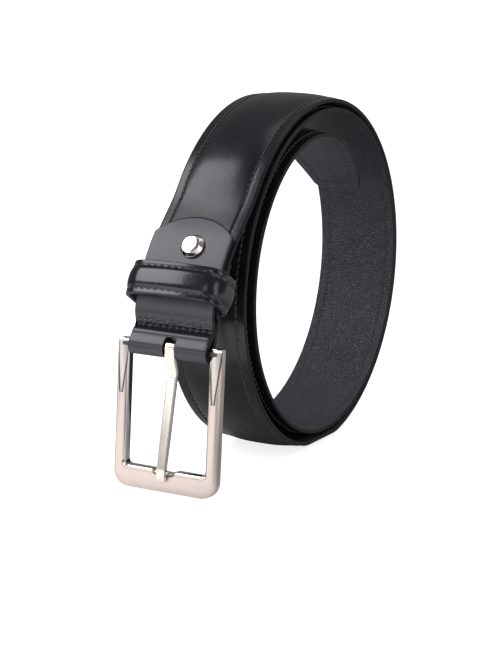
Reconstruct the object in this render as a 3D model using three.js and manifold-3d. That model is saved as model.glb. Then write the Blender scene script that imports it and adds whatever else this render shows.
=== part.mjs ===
// Padded leather dress belt, rolled up and standing on its outer face.
// Millimetres. X runs across the strap, -Y is the buckle side, +Z is up.
// The origin is the middle of the flat face that the roll rests on.
import * as THREE from 'three';
import { mergeVertices } from 'three/addons/utils/BufferGeometryUtils.js';
import Module from 'manifold-3d';

const wasm = await Module();
wasm.setup();

// strap section
const STRAP_WIDTH = 35;
const HALF_WIDTH = STRAP_WIDTH / 2;
const EDGE_THICKNESS = 1.9;
const LEATHER_THICKNESS = 0.9;
const LINING_THICKNESS = 0.9;
const DOME_HEIGHT = 1.1;
const DOME_FLAT = 6;
const DOME_SHOULDER = 10.5;
const DOME_EDGE = 12.4;
const SHOULDER_HEIGHT = 0.6;
const LEAST_PAD = 0.08;
const PLY_GAP = 0.06;
const FILLER_GAP = 0.16;

// the roll: lining radius against the angle from the buckle, in degrees
const COIL_CENTRE_Z = 70.6;
const START_RADIUS = 71.5;
const PITCH_PER_TURN = 3.6;
const DRIFT_PER_TURN = 0.8;
const START_ANGLE = -2.2;
const END_ANGLE = 865.5;
const PEEL_OUT = 14.5;
const PEEL_SPAN = 36;
const FLARE_OUT = 2.5;
const FLARE_SPAN = 14;
const STEP_IN = 2.9;
const TONGUE_DIP = 8.5;
const TONGUE_DIP_AT = 850;
const TONGUE_DIP_SPAN = 44;
const REST_BLEND = 0.4;
const STATIONS = 126;

// padding under the leather, and the tongue's taper to its blunt end
const PADDING_FROM = 37.5;
const PADDING_RAMP = 30;
const PADDING_TO_TIP = 20;
const PADDING_END_RAMP = 25;
const FILLER_FROM = 49.5;
const FILLER_TO_TIP = 34;
const TAPER_LENGTH = 50;
const TAPER_POWER = 1.8;
const TIP_HALF_WIDTH = 10.1;
const TIP_ROUND = 3;

// punched holes in the tongue
const HOLE_COUNT = 5;
const HOLE_SPACING = 25;
const HOLE_TO_TIP = 95;
const HOLE_RADIUS = 2.2;

// buckle tab, folded round the bar
const TAB_THICKNESS = 2;
const TAB_WIDTH = 33.8;
const TAB_TOP_FRONT = 37.8;
const TAB_TOP_BACK = 29.9;
const TAB_PINCH_Y = -89.3;
const TAB_PINCH_Z = 62.6;
const TAB_PINCH_GAP = 0.3;
const TAB_ROUND = 8;
const TAB_CLEARANCE = 0.25;
const TAB_FRONT_STEP = 6.3;
const TAB_BACK_FROM = 1.1;
const TAB_BACK_STEP = 6.8;
const TAB_STEPS = 44;
const SLOT_HALF_WIDTH = 2.6;
const SLOT_TOP = 59.6;
const SLOT_ACROSS = 0.8;

// buckle
const BAR_Y = -93.1;
const FRAME_BELOW_BAR = 55;
const FRAME_LEAN = 3;
const BAR_RADIUS = 1.5;
const BAR_INSET = 2;
const FRAME_HALF_WIDTH = 22.4;
const FRAME_DEPTH = 4.4;
const ARM_WIDTH = 4.9;
const END_BAR_HEIGHT = 8.6;
const ARM_ABOVE_BAR = 2.2;
const FRAME_BEVEL = 0.9;
const CORNER_RADIUS = 6.5;
const INSIDE_CORNER = 2;
const PRONG_NECK_WIDTH = 4.4;
const PRONG_WIDTH = 3.8;
const PRONG_THICKNESS = 2.2;
const PRONG_RING_RADIUS = 3.1;
const PRONG_REACH = 51;
const PRONG_YAW = 1;

// stud
const STUD_ALONG = 24.7;
const STUD_ACROSS = 1.9;
const STUD_HEAD_RADIUS = 4.8;
const STUD_HEAD_HEIGHT = 2.3;
const STUD_SHANK_RADIUS = 1.9;
const STUD_HOLE_RADIUS = 2.2;
const SCREW_HEAD_RADIUS = 4;
const SCREW_HEAD_HEIGHT = 1.3;
const TOUCH_GAP = 0.3;

// keeper loop
const KEEPER_ALONG = 9.6;
const KEEPER_BAND = 13.6;
const KEEPER_INSIDE_WIDTH = 35.6;
const KEEPER_TILT = 32;
const KEEPER_FRONT_GAP = 2.4;
const KEEPER_BOW = 1.8;
const KEEPER_BACK_GAP = 3.5;
const KEEPER_LINING = 0.7;
const KEEPER_SKIN = 1.1;
const KEEPER_CORNER = 3.4;
const KEEPER_ROW_INSET = 2;
const KEEPER_THREAD = 0.3;

// thread
const THREAD_WIDTH = 0.7;
const THREAD_HEIGHT = 0.4;
const ROW_INSET = 3.9;
const ROW_CORNER = 2;
const THREAD_CLEARANCE = 0.18;
const CROSS_ROW_CLEARANCE = 0.7;
const CROSS_ROW_INSET = 1.7;
const CROSS_ROW_DEPTH = 0.6;
const CROSS_ROW_HEIGHT = 0.8;

const LEATHER = { color: 0x0b0c0f, roughness: 0.28, metalness: 0 };
const LINING = { color: 0x17171a, roughness: 0.62, metalness: 0 };
const TAB_SKIN = { color: 0x1b1c20, roughness: 0.42, metalness: 0 };
const FILLER = { color: 0x3a3632, roughness: 0.9, metalness: 0 };
const THREAD = { color: 0x101114, roughness: 0.55, metalness: 0 };
const SATIN_NICKEL = { color: 0xb9b1aa, roughness: 0.32, metalness: 1 };
const BRIGHT_NICKEL = { color: 0xd2d1cf, roughness: 0.14, metalness: 1 };
const STEEL = { color: 0x8d8f92, roughness: 0.4, metalness: 1 };

// the frame leans on its end bar's lower back edge, which sets the bar's height
const lean = FRAME_LEAN * Math.PI / 180;
const BAR_Z = FRAME_BELOW_BAR * Math.cos(lean) + (FRAME_DEPTH / 2 - FRAME_BEVEL) * Math.sin(lean);

const belt = new THREE.Group();

function ramp(value, from, span) {
  const t = Math.min(1, Math.max(0, (value - from) / span));
  return t * t * (3 - 2 * t);
}

// smaller of two lengths, rounded off where they meet and exact away from it
function softMin(a, b, blend) {
  const h = Math.max(blend - Math.abs(a - b), 0) / blend;
  return Math.min(a, b) - h * h * blend / 4;
}

// distance from the roll's centre to the strap's lining face
function liningRadius(deg) {
  const peel = PEEL_OUT * (1 - ramp(deg, -2, PEEL_SPAN)) + FLARE_OUT * (1 - ramp(deg, -7, FLARE_SPAN));
  const step = STEP_IN * ramp(deg, 580, 110);
  const dip = TONGUE_DIP * Math.exp(-(((deg - TONGUE_DIP_AT) / TONGUE_DIP_SPAN) ** 2));
  const round = START_RADIUS - PITCH_PER_TURN * deg / 360 + peel - step - dip;
  const fromBottom = deg - 270;
  if (Math.abs(fromBottom) > 30) return round;
  const restHeight = COIL_CENTRE_Z - EDGE_THICKNESS - DOME_HEIGHT;
  return softMin(round, restHeight / Math.cos(fromBottom * Math.PI / 180), REST_BLEND);
}

function liningPoint(deg) {
  const a = deg * Math.PI / 180;
  const r = liningRadius(deg);
  return new THREE.Vector2(-r * Math.cos(a), COIL_CENTRE_Z + r * Math.sin(a));
}

// arc length along the lining, sampled every half degree
const ANGLE_STEP = 0.5;
const arc = [0];
for (let deg = START_ANGLE; deg < END_ANGLE; deg += ANGLE_STEP) {
  arc.push(arc[arc.length - 1] + liningPoint(deg).distanceTo(liningPoint(deg + ANGLE_STEP)));
}
const STRAP_LENGTH = arc[arc.length - 1];

function angleAt(along) {
  let low = 0;
  let high = arc.length - 1;
  while (high - low > 1) {
    const mid = (low + high) >> 1;
    if (arc[mid] <= along) low = mid;
    else high = mid;
  }
  return START_ANGLE + ANGLE_STEP * (low + (along - arc[low]) / (arc[high] - arc[low]));
}

// point, outward normal and upward tangent of the lining face
function strapFrame(along) {
  const deg = angleAt(along);
  const point = liningPoint(deg);
  const tangent = liningPoint(deg + 0.4).sub(liningPoint(deg - 0.4)).normalize();
  const normal = new THREE.Vector2(-tangent.y, tangent.x);
  return { point, tangent, normal, drift: DRIFT_PER_TURN * deg / 360 };
}

// a point given across, along and above the lining, rolled up
function roll(across, along, above) {
  const f = strapFrame(along);
  const y = f.point.x + f.normal.x * above;
  const z = f.point.y + f.normal.y * above;
  return new THREE.Vector3(across + f.drift, y, z);
}

// merged vertices, faces outward
function closedMesh(geometry) {
  const bare = new THREE.BufferGeometry();
  bare.setAttribute('position', geometry.attributes.position);
  if (geometry.index) bare.setIndex(geometry.index);
  const merged = mergeVertices(bare, 1e-4);
  const p = merged.attributes.position;
  const index = merged.index.array;
  let volume = 0;
  const a = new THREE.Vector3();
  const b = new THREE.Vector3();
  const c = new THREE.Vector3();
  for (let i = 0; i < index.length; i += 3) {
    a.fromBufferAttribute(p, index[i]);
    b.fromBufferAttribute(p, index[i + 1]);
    c.fromBufferAttribute(p, index[i + 2]);
    volume += a.dot(b.cross(c));
  }
  if (volume < 0) {
    for (let i = 0; i < index.length; i += 3) {
      const swap = index[i + 1];
      index[i + 1] = index[i + 2];
      index[i + 2] = swap;
    }
  }
  return merged;
}

function toSolid(geometry) {
  const g = closedMesh(geometry);
  const vertProperties = new Float32Array(g.attributes.position.array);
  const triVerts = new Uint32Array(g.index.array);
  return new wasm.Manifold(new wasm.Mesh({ numProp: 3, vertProperties, triVerts }));
}

function fromSolid(solid) {
  const mesh = solid.getMesh();
  const g = new THREE.BufferGeometry();
  g.setAttribute('position', new THREE.BufferAttribute(new Float32Array(mesh.vertProperties), 3));
  g.setIndex(Array.from(mesh.triVerts));
  return g;
}

function cut(geometry, cutters) {
  let solid = toSolid(geometry);
  for (const cutter of cutters) solid = solid.subtract(toSolid(cutter));
  return fromSolid(solid);
}

function join(first, second) {
  return fromSolid(toSolid(first).add(toSolid(second)));
}

function addPart(name, geometry, look, parent = belt) {
  const g = closedMesh(geometry);
  const flat = g.toNonIndexed();
  flat.computeVertexNormals();
  const mesh = new THREE.Mesh(flat, new THREE.MeshStandardMaterial(look));
  mesh.name = name;
  parent.add(mesh);
  return mesh;
}

// a section pulled through numbered stations, each vertex set by place()
function sweep(section, stations, place) {
  const last = stations.length - 1;
  const options = { depth: last, steps: last, bevelEnabled: false };
  const g = new THREE.ExtrudeGeometry(new THREE.Shape(section), options);
  const p = g.attributes.position;
  for (let i = 0; i < p.count; i += 1) {
    const at = stations[Math.round(p.getZ(i))];
    const v = place(p.getX(i), p.getY(i), at);
    p.setXYZ(i, v.x, v.y, v.z);
  }
  return g;
}

function rectangle(halfWidth, low, high) {
  return [
    new THREE.Vector2(-halfWidth, low),
    new THREE.Vector2(halfWidth, low),
    new THREE.Vector2(halfWidth, high),
    new THREE.Vector2(-halfWidth, high),
  ];
}

// --- strap ---------------------------------------------------------------

function dome(across) {
  const x = Math.abs(across);
  if (x <= DOME_FLAT) return DOME_HEIGHT;
  if (x <= DOME_SHOULDER) {
    const t = (x - DOME_FLAT) / (DOME_SHOULDER - DOME_FLAT);
    return DOME_HEIGHT + (SHOULDER_HEIGHT - DOME_HEIGHT) * t;
  }
  return Math.max(0, SHOULDER_HEIGHT * (DOME_EDGE - x) / (DOME_EDGE - DOME_SHOULDER));
}

// share of the full padding height along the strap
function padding(along) {
  const toTip = STRAP_LENGTH - along;
  const swell = ramp(along, PADDING_FROM, PADDING_RAMP) * ramp(toTip, PADDING_TO_TIP, PADDING_END_RAMP);
  return LEAST_PAD + (1 - LEAST_PAD) * swell;
}

// half the strap's width, tapering towards the tongue's end
function halfWidthAt(along) {
  const t = Math.min(1, Math.max(0, (STRAP_LENGTH - along) / TAPER_LENGTH));
  return TIP_HALF_WIDTH + (HALF_WIDTH - TIP_HALF_WIDTH) * (1 - (1 - t) ** TAPER_POWER);
}

// share of the full width, with the blunt end's corners rounded off
function widthShare(along) {
  const t = Math.max(0, 1 - (STRAP_LENGTH - along) / TIP_ROUND);
  const corner = TIP_ROUND * (1 - Math.sqrt(Math.max(0, 1 - t * t)));
  return (halfWidthAt(along) - corner) / HALF_WIDTH;
}

function onStrap(across, above, along) {
  const lowered = (1 - padding(along)) * dome(across);
  const raised = above > EDGE_THICKNESS - LEATHER_THICKNESS - PLY_GAP / 2;
  return roll(across * widthShare(along), along, raised ? above - lowered : above);
}

function flatOnStrap(across, above, along) {
  return roll(across * widthShare(along), along, above);
}

const stations = [];
for (let k = 0; k <= STATIONS; k += 1) stations.push((STRAP_LENGTH - TIP_ROUND) * k / STATIONS);
for (let k = 1; k <= 4; k += 1) stations.push(STRAP_LENGTH - TIP_ROUND * (1 - Math.sin(k * Math.PI / 8)));

const rightBreaks = [DOME_FLAT, DOME_SHOULDER, DOME_EDGE, HALF_WIDTH];
const breaks = [...rightBreaks.map((x) => -x).reverse(), ...rightBreaks];
const leatherBase = EDGE_THICKNESS - LEATHER_THICKNESS;
const leatherTop = breaks.map((x) => new THREE.Vector2(x, EDGE_THICKNESS + dome(x)));
const leatherUnder = breaks.map((x) => new THREE.Vector2(x, leatherBase + dome(x)));
const leatherSection = [...leatherUnder, ...leatherTop.reverse()];
const liningSection = rectangle(HALF_WIDTH, 0, LINING_THICKNESS);

const holeCutters = [];
function crossCutter(along, radius, sides, length = 9, across = 0) {
  const g = new THREE.CylinderGeometry(radius, radius, length, sides);
  const f = strapFrame(along);
  g.rotateX(Math.atan2(f.normal.y, f.normal.x));
  g.translate(f.drift + across, f.point.x, f.point.y);
  return g;
}
for (let k = 0; k < HOLE_COUNT; k += 1) {
  holeCutters.push(crossCutter(STRAP_LENGTH - HOLE_TO_TIP - HOLE_SPACING * k, HOLE_RADIUS, 12));
}
const studCutter = crossCutter(STUD_ALONG, STUD_HOLE_RADIUS, 12, 20, STUD_ACROSS);

const strapCutters = [...holeCutters, studCutter];
addPart('strap_leather', cut(sweep(leatherSection, stations, onStrap), strapCutters), LEATHER);
addPart('strap_lining', cut(sweep(liningSection, stations, flatOnStrap), strapCutters), LINING);

const fillerStations = stations.filter((s) => s > FILLER_FROM && s < STRAP_LENGTH - FILLER_TO_TIP);
const fillerBreaks = [-DOME_SHOULDER, -DOME_FLAT, DOME_FLAT, DOME_SHOULDER];
const fillerTop = fillerBreaks.map((x) => new THREE.Vector2(x, leatherBase + dome(x) - FILLER_GAP));
const fillerFoot = DOME_EDGE - 0.5;
const fillerSection = [
  new THREE.Vector2(-fillerFoot, LINING_THICKNESS + PLY_GAP / 2),
  new THREE.Vector2(fillerFoot, LINING_THICKNESS + PLY_GAP / 2),
  ...fillerTop.reverse(),
];
function onFiller(across, above, along) {
  const share = (above - LINING_THICKNESS) > PLY_GAP ? (1 - padding(along)) * dome(across) : 0;
  return roll(across * widthShare(along), along, above - share);
}
addPart('strap_filler', cut(sweep(fillerSection, fillerStations, onFiller), holeCutters), FILLER);

// one thread down each margin and across the tongue's end
const threadSection = rectangle(THREAD_WIDTH / 2, 0, THREAD_HEIGHT);
const rowStart = stations[6];
const rowEnd = STRAP_LENGTH - ROW_INSET - ROW_CORNER;
const margin = [];
for (const s of stations.filter((at) => at >= rowStart && at < rowEnd)) {
  margin.push([halfWidthAt(s) - ROW_INSET, s, 1, 0]);
}
const cornerAcross = halfWidthAt(rowEnd) - ROW_INSET - ROW_CORNER;
for (let k = 0; k <= 4; k += 1) {
  const a = Math.PI * k / 8;
  const across = cornerAcross + ROW_CORNER * Math.cos(a);
  margin.push([across, rowEnd + ROW_CORNER * Math.sin(a), Math.cos(a), Math.sin(a)]);
}
const otherMargin = margin.map(([across, along, nx, ns]) => [-across, along, -nx, ns]).reverse();
const threadPath = [...margin, ...otherMargin];
function onMargin(side, above, at) {
  const [across, along, nx, ns] = at;
  return roll(across + nx * side, along + ns * side, EDGE_THICKNESS + THREAD_CLEARANCE + above);
}
addPart('strap_stitching', sweep(threadSection, threadPath, onMargin), THREAD);

// --- buckle tab ----------------------------------------------------------

const strapMiddle = EDGE_THICKNESS / 2;
const layerOffset = strapMiddle + TAB_CLEARANCE + TAB_THICKNESS / 2;
const foldRadius = BAR_RADIUS + TAB_CLEARANCE + TAB_THICKNESS / 2;
function layerPoint(along, side) {
  const f = strapFrame(along);
  const reach = strapMiddle + side * layerOffset;
  return new THREE.Vector3(0, f.point.x + f.normal.x * reach, f.point.y + f.normal.y * reach);
}
function foldPoint(deg) {
  const a = deg * Math.PI / 180;
  return new THREE.Vector3(0, BAR_Y - foldRadius * Math.cos(a), BAR_Z + foldRadius * Math.sin(a));
}
function pinchPoint(side) {
  return new THREE.Vector3(0, TAB_PINCH_Y - side * (TAB_THICKNESS + TAB_PINCH_GAP) / 2, TAB_PINCH_Z);
}
const tabPoints = [];
for (let s = TAB_TOP_FRONT; s > -1; s -= TAB_FRONT_STEP) tabPoints.push(layerPoint(s, 1));
tabPoints.push(pinchPoint(1));
for (const deg of [32, -10, -55, -100, -145, -178]) tabPoints.push(foldPoint(deg));
tabPoints.push(pinchPoint(-1));
for (let s = TAB_BACK_FROM; s < TAB_TOP_BACK + 1; s += TAB_BACK_STEP) tabPoints.push(layerPoint(s, -1));
const tabCurve = new THREE.CatmullRomCurve3(tabPoints, false, 'centripetal');
const tabLength = tabCurve.getLength();
const tabStations = [];
for (let k = 0; k <= 4; k += 1) tabStations.push(TAB_ROUND * (1 - Math.cos(k * Math.PI / 8)) / tabLength);
const tabFrom = tabStations[4];
for (let k = 1; k <= TAB_STEPS; k += 1) tabStations.push(tabFrom + (1 - tabFrom) * k / TAB_STEPS);
const tabHalf = TAB_WIDTH / 2;
function onTab(across, above, share) {
  const u = Math.min(share, 0.99999);
  const p = tabCurve.getPointAt(u);
  const t = tabCurve.getTangentAt(u);
  const rounding = Math.max(0, 1 - u * tabLength / TAB_ROUND);
  const width = Math.sqrt(Math.max(0.12, 1 - rounding * rounding));
  return new THREE.Vector3(across * width, p.y + t.z * above, p.z - t.y * above);
}
const tabSheet = sweep(rectangle(tabHalf, -TAB_THICKNESS / 2, TAB_THICKNESS / 2), tabStations, onTab);
const slotBottom = BAR_Z - 8;
const slot = new THREE.BoxGeometry(2 * SLOT_HALF_WIDTH, 16, SLOT_TOP - slotBottom);
slot.translate(SLOT_ACROSS, BAR_Y, (SLOT_TOP + slotBottom) / 2);
addPart('buckle_tab', cut(tabSheet, [studCutter, slot]), TAB_SKIN);

// coarse row of stitches across the tab, just above the fold
const pinchFace = TAB_PINCH_Y - TAB_PINCH_GAP / 2 - TAB_THICKNESS;
const crossRow = new THREE.BoxGeometry(TAB_WIDTH - 2 * CROSS_ROW_INSET, CROSS_ROW_DEPTH, CROSS_ROW_HEIGHT);
crossRow.translate(0, pinchFace - CROSS_ROW_CLEARANCE - CROSS_ROW_DEPTH / 2, TAB_PINCH_Z);
addPart('tab_stitching', crossRow, THREAD);

// --- stud ----------------------------------------------------------------

function strapGroup(along) {
  const f = strapFrame(along);
  const group = new THREE.Group();
  group.position.set(0, f.point.x, f.point.y);
  group.rotation.x = -Math.atan2(f.tangent.x, f.tangent.y);
  belt.add(group);
  return group;
}

const studGroup = strapGroup(STUD_ALONG);
studGroup.position.x = STUD_ACROSS;
const tabFrontFace = EDGE_THICKNESS + TAB_CLEARANCE + TAB_THICKNESS;
const tabBackFace = -TAB_CLEARANCE - TAB_THICKNESS;
const headBase = tabFrontFace + TOUCH_GAP;
const headTop = headBase + STUD_HEAD_HEIGHT;
const studProfile = [
  [0, tabBackFace - TOUCH_GAP],
  [STUD_SHANK_RADIUS, tabBackFace - TOUCH_GAP],
  [STUD_SHANK_RADIUS, headBase],
  [STUD_HEAD_RADIUS, headBase],
  [STUD_HEAD_RADIUS, headBase + 1],
  [STUD_HEAD_RADIUS - 0.7, headTop - 0.6],
  [STUD_HEAD_RADIUS - 2, headTop],
  [0, headTop],
].map(([r, h]) => new THREE.Vector2(r, h));
const stud = new THREE.LatheGeometry(studProfile, 28);
stud.rotateX(Math.PI);
addPart('stud_post', stud, BRIGHT_NICKEL, studGroup);

const screwTop = tabBackFace - 2 * TOUCH_GAP;
const screwProfile = [
  [0, screwTop - SCREW_HEAD_HEIGHT],
  [SCREW_HEAD_RADIUS - 0.4, screwTop - SCREW_HEAD_HEIGHT],
  [SCREW_HEAD_RADIUS, screwTop - SCREW_HEAD_HEIGHT + 0.4],
  [SCREW_HEAD_RADIUS, screwTop],
  [0, screwTop],
].map(([r, h]) => new THREE.Vector2(r, h));
const screw = new THREE.LatheGeometry(screwProfile, 24);
const screwSlot = new THREE.BoxGeometry(10, 1, 1);
screwSlot.translate(0, screwTop - SCREW_HEAD_HEIGHT, 0);
const slottedScrew = cut(screw, [screwSlot]);
slottedScrew.rotateX(Math.PI);
addPart('stud_screw', slottedScrew, STEEL, studGroup);

// --- keeper loop ---------------------------------------------------------

const keeperGroup = strapGroup(KEEPER_ALONG);
keeperGroup.rotation.x = -KEEPER_TILT * Math.PI / 180;
const keeperFrontInside = -(tabFrontFace + KEEPER_FRONT_GAP);
const keeperBackInside = -tabBackFace + KEEPER_BACK_GAP;

// the loop's outline, its front bowed out between the corners
function roundedLoop(grow) {
  const halfWidth = KEEPER_INSIDE_WIDTH / 2 + grow;
  const front = keeperFrontInside - grow;
  const back = keeperBackInside + grow;
  const radius = KEEPER_CORNER + grow;
  const corners = [
    [halfWidth, front, -90],
    [halfWidth, back, 0],
    [-halfWidth, back, 90],
    [-halfWidth, front, 180],
  ];
  const points = [];
  for (const [x, y, from] of corners) {
    const cx = x - Math.sign(x) * radius;
    const cy = y + (y < 0 ? radius : -radius);
    for (let k = 0; k <= 4; k += 1) {
      const a = (from + 22.5 * k) * Math.PI / 180;
      points.push(new THREE.Vector2(cx + radius * Math.cos(a), cy + radius * Math.sin(a)));
    }
  }
  const straight = halfWidth - radius;
  for (let k = 1; k < 6; k += 1) points.push(new THREE.Vector2(straight * (k / 3 - 1), front));
  for (const p of points) {
    if (p.y < 0) p.y -= KEEPER_BOW * (1 - (p.x / halfWidth) ** 2);
  }
  return points;
}

function loopBand(inner, outer, low, high) {
  const shape = new THREE.Shape(roundedLoop(outer));
  shape.holes.push(new THREE.Path(roundedLoop(inner)));
  const g = new THREE.ExtrudeGeometry(shape, { depth: high - low, bevelEnabled: false });
  g.translate(0, 0, low);
  return g;
}

const halfBand = KEEPER_BAND / 2;
addPart('keeper_lining', loopBand(0, KEEPER_LINING, -halfBand, halfBand), LINING, keeperGroup);
const skinInner = KEEPER_LINING + PLY_GAP;
const skinOuter = skinInner + KEEPER_SKIN;
addPart('keeper_leather', loopBand(skinInner, skinOuter, -halfBand, halfBand), LEATHER, keeperGroup);
const threadInner = skinOuter + PLY_GAP;
const rowHeight = halfBand - KEEPER_ROW_INSET;
function keeperRow(level) {
  const low = level - THREAD_WIDTH / 2;
  return loopBand(threadInner, threadInner + KEEPER_THREAD, low, low + THREAD_WIDTH);
}
addPart('keeper_stitching_upper', keeperRow(rowHeight), THREAD, keeperGroup);
addPart('keeper_stitching_lower', keeperRow(-rowHeight), THREAD, keeperGroup);

// --- buckle --------------------------------------------------------------

const buckleGroup = new THREE.Group();
buckleGroup.position.set(0, BAR_Y, BAR_Z);
buckleGroup.rotation.x = -lean;
belt.add(buckleGroup);

const innerHalf = FRAME_HALF_WIDTH - ARM_WIDTH;
const endInside = -FRAME_BELOW_BAR + END_BAR_HEIGHT;
const inset = FRAME_BEVEL;
function frameOutline() {
  const outer = FRAME_HALF_WIDTH - inset;
  const bottom = -FRAME_BELOW_BAR + inset;
  const top = ARM_ABOVE_BAR - inset;
  const inside = innerHalf + inset;
  const r = CORNER_RADIUS - inset;
  const shape = new THREE.Shape();
  shape.moveTo(-outer, top);
  shape.lineTo(-outer, bottom + r);
  shape.absarc(-outer + r, bottom + r, r, Math.PI, 1.5 * Math.PI, false);
  shape.absarc(outer - r, bottom + r, r, 1.5 * Math.PI, 2 * Math.PI, false);
  shape.lineTo(outer, top);
  shape.lineTo(inside, top);
  const q = INSIDE_CORNER;
  shape.absarc(inside - q, endInside - inset + q, q, 0, -0.5 * Math.PI, true);
  shape.absarc(-inside + q, endInside - inset + q, q, -0.5 * Math.PI, -Math.PI, true);
  shape.lineTo(-inside, top);
  return shape;
}
const frameBody = new THREE.ExtrudeGeometry(frameOutline(), {
  depth: FRAME_DEPTH - 2 * FRAME_BEVEL,
  bevelEnabled: true,
  bevelThickness: FRAME_BEVEL,
  bevelSize: FRAME_BEVEL,
  bevelSegments: 2,
  curveSegments: 8,
});
frameBody.translate(0, 0, -(FRAME_DEPTH - 2 * FRAME_BEVEL) / 2);
frameBody.rotateX(Math.PI / 2);
const barHalf = FRAME_HALF_WIDTH - BAR_INSET;
const holeRadius = BAR_RADIUS + TOUCH_GAP;
const barHole = new THREE.CylinderGeometry(holeRadius, holeRadius, 2 * (barHalf + TOUCH_GAP), 16);
barHole.rotateZ(Math.PI / 2);
addPart('buckle_frame', cut(frameBody, [barHole]), SATIN_NICKEL, buckleGroup);

const bar = new THREE.CylinderGeometry(BAR_RADIUS, BAR_RADIUS, 2 * barHalf, 16);
bar.rotateZ(Math.PI / 2);
addPart('buckle_bar', bar, STEEL, buckleGroup);

// prong: a ring on the bar and a shaft that crosses the end bar
const endBarFront = -FRAME_DEPTH / 2 - TOUCH_GAP;
const prongFoot = -PRONG_REACH;
const crossing = endInside + 0.6;
function prongSide(points, width) {
  const outline = new THREE.Shape(points.map(([y, z]) => new THREE.Vector2(y, z)));
  const g = new THREE.ExtrudeGeometry(outline, { depth: width, bevelEnabled: false });
  g.translate(0, 0, -width / 2);
  g.rotateX(Math.PI / 2);
  g.rotateZ(Math.PI / 2);
  return g;
}
const ringProfile = [
  [holeRadius, -PRONG_NECK_WIDTH / 2],
  [PRONG_RING_RADIUS, -PRONG_NECK_WIDTH / 2],
  [PRONG_RING_RADIUS, PRONG_NECK_WIDTH / 2],
  [holeRadius, PRONG_NECK_WIDTH / 2],
  [holeRadius, -PRONG_NECK_WIDTH / 2],
].map(([r, h]) => new THREE.Vector2(r, h));
const ring = new THREE.LatheGeometry(ringProfile, 24);
ring.rotateZ(Math.PI / 2);
const neckSide = [
  [-2.7, -1.2],
  [-2.1, -5],
  [-0.6, -8.6],
  [0.1, -12.9],
  [2.3, -12.9],
  [1.7, -8],
  [0.3, -4.4],
  [-0.8, -2.2],
];
const shaftSide = [
  [0.1, -12.2],
  [endBarFront - PRONG_THICKNESS, crossing],
  [endBarFront - PRONG_THICKNESS - 0.1, prongFoot + 2],
  [endBarFront - PRONG_THICKNESS + 0.5, prongFoot + 0.5],
  [endBarFront - 0.7, prongFoot],
  [endBarFront, prongFoot + 0.7],
  [endBarFront, crossing],
  [2.3, -12.2],
];
const prongGroup = new THREE.Group();
prongGroup.position.x = SLOT_ACROSS;
prongGroup.rotation.y = PRONG_YAW * Math.PI / 180;
buckleGroup.add(prongGroup);
const prongShaft = join(prongSide(neckSide, PRONG_NECK_WIDTH), prongSide(shaftSide, PRONG_WIDTH));
addPart('prong', join(ring, prongShaft), BRIGHT_NICKEL, prongGroup);

export default belt;
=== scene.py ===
# Padded leather dress belt, rolled up. Metres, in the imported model's frame.
import math

import bmesh
import bpy
import numpy as np
from mathutils import Matrix, Vector


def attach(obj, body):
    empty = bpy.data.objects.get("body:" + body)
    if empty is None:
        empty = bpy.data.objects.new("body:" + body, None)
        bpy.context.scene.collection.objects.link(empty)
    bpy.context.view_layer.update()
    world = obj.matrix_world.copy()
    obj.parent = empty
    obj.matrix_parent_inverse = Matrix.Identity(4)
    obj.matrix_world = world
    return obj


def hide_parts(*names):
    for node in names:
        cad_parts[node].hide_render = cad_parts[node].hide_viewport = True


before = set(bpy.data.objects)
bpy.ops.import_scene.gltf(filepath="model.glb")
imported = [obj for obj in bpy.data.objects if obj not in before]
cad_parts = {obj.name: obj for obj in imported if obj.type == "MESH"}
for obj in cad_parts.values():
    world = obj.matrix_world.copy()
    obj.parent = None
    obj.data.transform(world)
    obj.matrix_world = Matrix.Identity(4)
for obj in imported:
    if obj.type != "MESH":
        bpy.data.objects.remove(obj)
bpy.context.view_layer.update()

MM = 0.001
rng = np.random.default_rng(7)

# ---------------------------------------------------------------- camera
cam_data = bpy.data.cameras.new("camera")
camera = bpy.data.objects.new("camera", cam_data)
bpy.context.scene.collection.objects.link(camera)
bpy.context.scene.camera = camera
CAM_POS = Vector((0.36656, -0.71709, 0.21449))
AZIMUTH, ELEVATION, ROLL = math.radians(28.68), math.radians(11.15), math.radians(1.03)
LENS, SENSOR = 107.25, 36
SHIFT_X, SHIFT_Y = 0.0286, -0.0403
back = Vector((
    math.sin(AZIMUTH) * math.cos(ELEVATION),
    -math.cos(AZIMUTH) * math.cos(ELEVATION),
    math.sin(ELEVATION),
))
side = Vector((math.cos(AZIMUTH), math.sin(AZIMUTH), 0.0))
up = back.cross(side)
side_r = side * math.cos(ROLL) + up * math.sin(ROLL)
up_r = up * math.cos(ROLL) - side * math.sin(ROLL)
turned = Matrix((side_r, up_r, back)).transposed().to_4x4()
camera.matrix_world = Matrix.Translation(CAM_POS) @ turned
cam_data.lens = LENS
cam_data.sensor_width = SENSOR
cam_data.shift_x = SHIFT_X
cam_data.shift_y = SHIFT_Y
cam_data.clip_start = 0.01
cam_data.clip_end = 20

# ---------------------------------------------------------------- the roll, in mm and degrees
HALF = 17.5  # half the strap's width
EDGE = 1.9  # thickness at the strap's edges
DOME = 1.1  # what the padding adds in the middle
CENTRE_Z = 70.6
START_DEG, END_DEG = -2.2, 865.5
START_RADIUS, TURN_PITCH, TURN_DRIFT = 71.5, 3.6, 0.8
PEEL_OUT, PEEL_FROM, PEEL_SPAN = 14.5, -2, 36
FLARE_OUT, FLARE_FROM, FLARE_SPAN = 2.5, -7, 14
STEP_IN, STEP_FROM, STEP_SPAN = 2.9, 580, 110
DIP_IN, DIP_AT, DIP_SPAN = 8.5, 850, 44
DOWN, REST_SPAN, REST_BLEND = 270, 30, 0.4


def ramp(v, start, span):
    """A smooth step from 0 at start to 1 at start + span."""
    t = np.clip((np.asarray(v, float) - start) / span, 0, 1)
    return t * t * (3 - 2 * t)


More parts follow.
